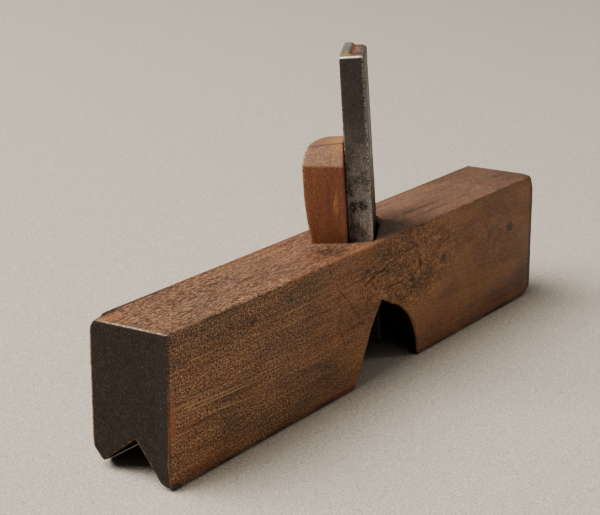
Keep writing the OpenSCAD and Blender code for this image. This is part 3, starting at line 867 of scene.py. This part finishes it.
stain = m.math("MAXIMUM", m.spot(lo, (0.0, 0.0060, 0.0122), (0.004, 0.0030, 0.0036)), m.spot(lo, (0.0, 0.0030, 0.0126), (0.004, 0.0026, 0.0030)))
stain = m.mul(m.ramp(stain, 0.05, 0.6), m.ramp(m.noise(m.mapping(lo, (900, 900, 800)), 1.0, 3.0, 0.65), 0.40, 0.52, 0.25, 1.0))
base = m.mix(m.mul(stain, 0.9), base, srgb("#241C19"))
arr = m.attr("arris")
# painted highlights along the two arrises of the iron's narrow face, broken into dots
right = m.spot(lo, (0.0002, 0.0001, 0.030), (0.0014, 0.0012, 9.0))
left = m.spot(lo, (0.0001, 0.0084, 0.020), (0.0007, 0.0007, 0.05))
dotted_glint = m.ramp(m.noise(m.mapping(lo, (1900, 1900, 1500)), 1.0, 2.0, 0.6), 0.45, 0.58)
base = m.mix(m.mul(m.mul(right, dotted_glint), 0.9), base, srgb("#CFC8BD"))
base = m.mix(m.mul(m.mul(left, dotted_glint), 0.75), base, srgb("#BDB5AA"))
# the broad side: grey-brown with a lighter band along its middle
broad = m.ramp(sx, 0.0008, 0.003)
band = m.mul(m.ramp(sx, 0.010, 0.017), m.ramp(sx, 0.027, 0.020))
base = m.mix(m.mul(broad, 0.7), base, m.mix(band, srgb("#4D443D"), srgb("#968B7F")))
base = m.mix(m.mul(m.ramp(sx, 0.0262, 0.0290), 0.6), base, srgb("#3C322C"))
base = m.mix(m.mul(m.mul(broad, m.ramp(sz, 0.037, 0.012)), 0.9), base, srgb("#2B2420"))
# head: rust, a grey burr on the left, one orange patch and a bright front edge
head = m.attr("head")
rust = m.mix(m.ramp(m.noise(m.mapping(lo, (260, 420, 300)), 1.0, 4.0, 0.6), 0.4, 0.62), srgb("#8A4A33"), srgb("#9A8471"))
burr = m.ramp(sy, 0.0047, 0.0056)
rust = m.mix(burr, rust, m.mix(m.ramp(speck, 0.4, 0.6), srgb("#7A7365"), srgb("#A79F90")))
rust = m.mix(m.ramp(sy, 0.0022, 0.0012), rust, srgb("#85766A"))
orange = m.spot(lo, (0.0035, 0.0060, 0.0645), (0.0045, 0.0030, 0.01))
rust = m.mix(m.mul(m.ramp(orange, 0.2, 0.5), 0.9), rust, srgb("#C98B45"))
base = m.mix(m.mul(head, 0.95), base, rust)
front = m.spot(lo, (0.0003, 0.0042, 0.0643), (0.0008, 9.0, 0.0007))
frontn = m.ramp(m.noise(m.mapping(lo, (500, 420, 500)), 1.0, 2.0, 0.6), 0.34, 0.52, 0.45, 1.0)
base = m.mix(m.mul(m.ramp(front, 0.1, 0.4, 0.0, 0.95), frontn), base, srgb("#F2EEE6"))
hid = m.attr("hidden")
bare = m.mix(m.ramp(mott, 0.38, 0.62), srgb("#211C19"), srgb("#130F0D"))
bare = m.mix(m.ramp(speck, 0.54, 0.70, 0.0, 0.22), bare, srgb("#5C534B"))
bare = m.mix(m.ramp(streak, 0.52, 0.70, 0.0, 0.35), bare, srgb("#3B2A20"))
bevel = m.attr("bevel")
bare = m.mix(bevel, bare, m.mix(m.ramp(streak, 0.35, 0.65), srgb("#6E675F"), srgb("#978F85")))
base = m.mix(m.math("MAXIMUM", hid, bevel), base, bare)
m.link(m.mix(hid, (0.5, 0.5, 0.5, 1), (0.08, 0.08, 0.08, 1)), m.b.inputs["Specular IOR Level"])
m.link(base, m.b.inputs["Base Color"])
m.link(m.mix(hid, (0.55, 0.55, 0.55, 1), m.mix(bevel, (0.05, 0.05, 0.05, 1), (0.6, 0.6, 0.6, 1))), m.b.inputs["Metallic"])
m.link(m.add(m.ramp(mott, 0.3, 0.7, 0.42, 0.68), m.mul(hid, 0.25)), m.b.inputs["Roughness"])
n1 = m.bump(m.add(m.mul(speck, 0.7), mott), 0.5, 0.0003)
m.link(n1, m.b.inputs["Normal"])
iron.data.materials.append(m.m)

# ---------------------------------------------------------------- wedge wood
m = Mat("wedge_fruitwood")
lo = m.attr("loc", True)
grain = m.noise(m.mapping(lo, (360, 360, 40)), 1.0, 3.0, 0.55, 0.5)
fine = m.noise(m.mapping(lo, (1700, 1700, 420)), 1.0, 3.0, 0.6)
blotch = m.noise(m.mapping(lo, (130, 130, 50)), 1.0, 3.0, 0.55)
base = m.mix(m.ramp(grain, 0.3, 0.7), srgb("#84492A"), srgb("#965935"))
base = m.mix(m.ramp(fine, 0.5, 0.75, 0.0, 0.35), base, srgb("#5A321C"))
base = m.mix(m.ramp(blotch, 0.5, 0.75, 0.0, 0.2), base, srgb("#683A20"))
wx, wy, wz = m.split(lo)
base = m.mix(m.mul(m.ramp(wy, 0.0205, 0.0175), m.ramp(wz, 0.004, 0.013)), base, (0.83, 0.80, 0.78, 1), "MULTIPLY")
cut = m.attr("cut")
pale = m.mix(m.ramp(m.noise(m.mapping(lo, (1500, 500, 1500)), 1.0, 3.0, 0.6), 0.35, 0.7), srgb("#9A7153"), srgb("#B48B6A"))
flame = m.mul(m.spot(lo, (-0.0042, 0.0122, 0.0145), (0.004, 0.0016, 0.0065)), m.ramp(m.noise(m.mapping(lo, (900, 900, 300)), 1.0, 3.0, 0.6), 0.4, 0.6))
base = m.mix(m.mul(flame, 0.7), base, srgb("#C98A4E"))
ws = m.noise(lo, 2100.0, 1.0, 0.6)
base = m.mix(m.mul(cut, 0.85), base, pale)
crown = m.mul(m.attr("crown"), m.ramp(blotch, 0.3, 0.6, 0.5, 0.9))
base = m.mix(crown, base, srgb("#9A6E50"))
tanned = m.mul(m.spot(lo, (0.004, 0.0105, 0.0335), (0.014, 0.0050, 0.006)), cut)
base = m.mix(m.mul(tanned, 0.85), base, srgb("#CC8B52"))
base = m.mix(m.mul(m.attr("ridge"), 0.9), base, srgb("#4A2E20"))
base = m.mix(m.mul(m.attr("corner"), m.ramp(ws, 0.45, 0.6, 0.0, 0.45)), base, srgb("#C09468"))
base = m.mix(1.0, base, m.ramp(ws, 0.36, 0.64, 0.62, 1.18, False), "MULTIPLY")
# darker toward the foot where the wedge enters the mortise: painted contact shade
base = m.mix(m.ramp(wz, 0.012, 0.0, 0.0, 0.35), base, srgb("#4A2413"))
m.link(base, m.b.inputs["Base Color"])
m.link(m.ramp(fine, 0.3, 0.7, 0.4, 0.6), m.b.inputs["Roughness"])
n1 = m.bump(m.add(m.mul(grain, 0.5), m.mul(fine, 0.5)), 0.3, 0.0002)
m.link(n1, m.b.inputs["Normal"])
wedge.data.materials.append(m.m)

# ---------------------------------------------------------------- floor and light
# the floor touches the flat foot and the far lower edge, which ends higher
fm = bpy.data.meshes.new("floor")
REST = 0.00205 / 0.02734
fm.from_pydata([(sx * 8, sy * 8, (sy * 8 + 0.01254) * REST) for sx, sy in ((-1, -1), (1, -1), (1, 1), (-1, 1))], [], [(0, 1, 2, 3)])
floor = bpy.data.objects.new("floor", fm)
bpy.context.scene.collection.objects.link(floor)
m = Mat("floor_pale")
co = m.coords()
g = m.noise(co, 1700.0, 2.0, 0.7)
c = m.mix(m.ramp(g, 0.36, 0.64, 0.0, 1.0, False), srgb("#BDB09F"), srgb("#F2E5D2"))
m.link(c, m.b.inputs["Base Color"])
m.b.inputs["Roughness"].default_value = 0.8
m.b.inputs["Specular IOR Level"].default_value = 0.2
m.link(m.bump(g, 0.3, 0.0003), m.b.inputs["Normal"])
fm.materials.append(m.m)


def area(name, at, to, size, power, color=(1, 1, 1)):
    d = bpy.data.lights.new(name, "AREA")
    d.shape = "RECTANGLE"
    d.size, d.size_y = size
    d.energy = power
    d.color = color
    o = bpy.data.objects.new(name, d)
    o.location = at
    o.rotation_mode = "QUATERNION"
    o.rotation_quaternion = (Vector(to) - Vector(at)).to_track_quat("-Z", "Y")
    bpy.context.scene.collection.objects.link(o)
    return o


MID = Vector((0, 0, 0.03))
KEY = Vector((-0.439, 0.369, 0.819))
area("key", MID + KEY * 2.3, MID, (1.95, 1.95), 98, (1.0, 0.985, 0.955))
FILL = Vector((0.654, -0.568, 0.5))
area("fill", MID + FILL * 1.6, MID, (0.4, 0.4), 2.05, (1.0, 0.96, 0.92))
world_bg = bpy.data.worlds.new("studio")
world_bg.use_nodes = True
world_bg.node_tree.nodes["Background"].inputs[0].default_value = (1.0, 0.985, 0.96, 1)
world_bg.node_tree.nodes["Background"].inputs[1].default_value = 0.100
bpy.context.scene.world = world_bg
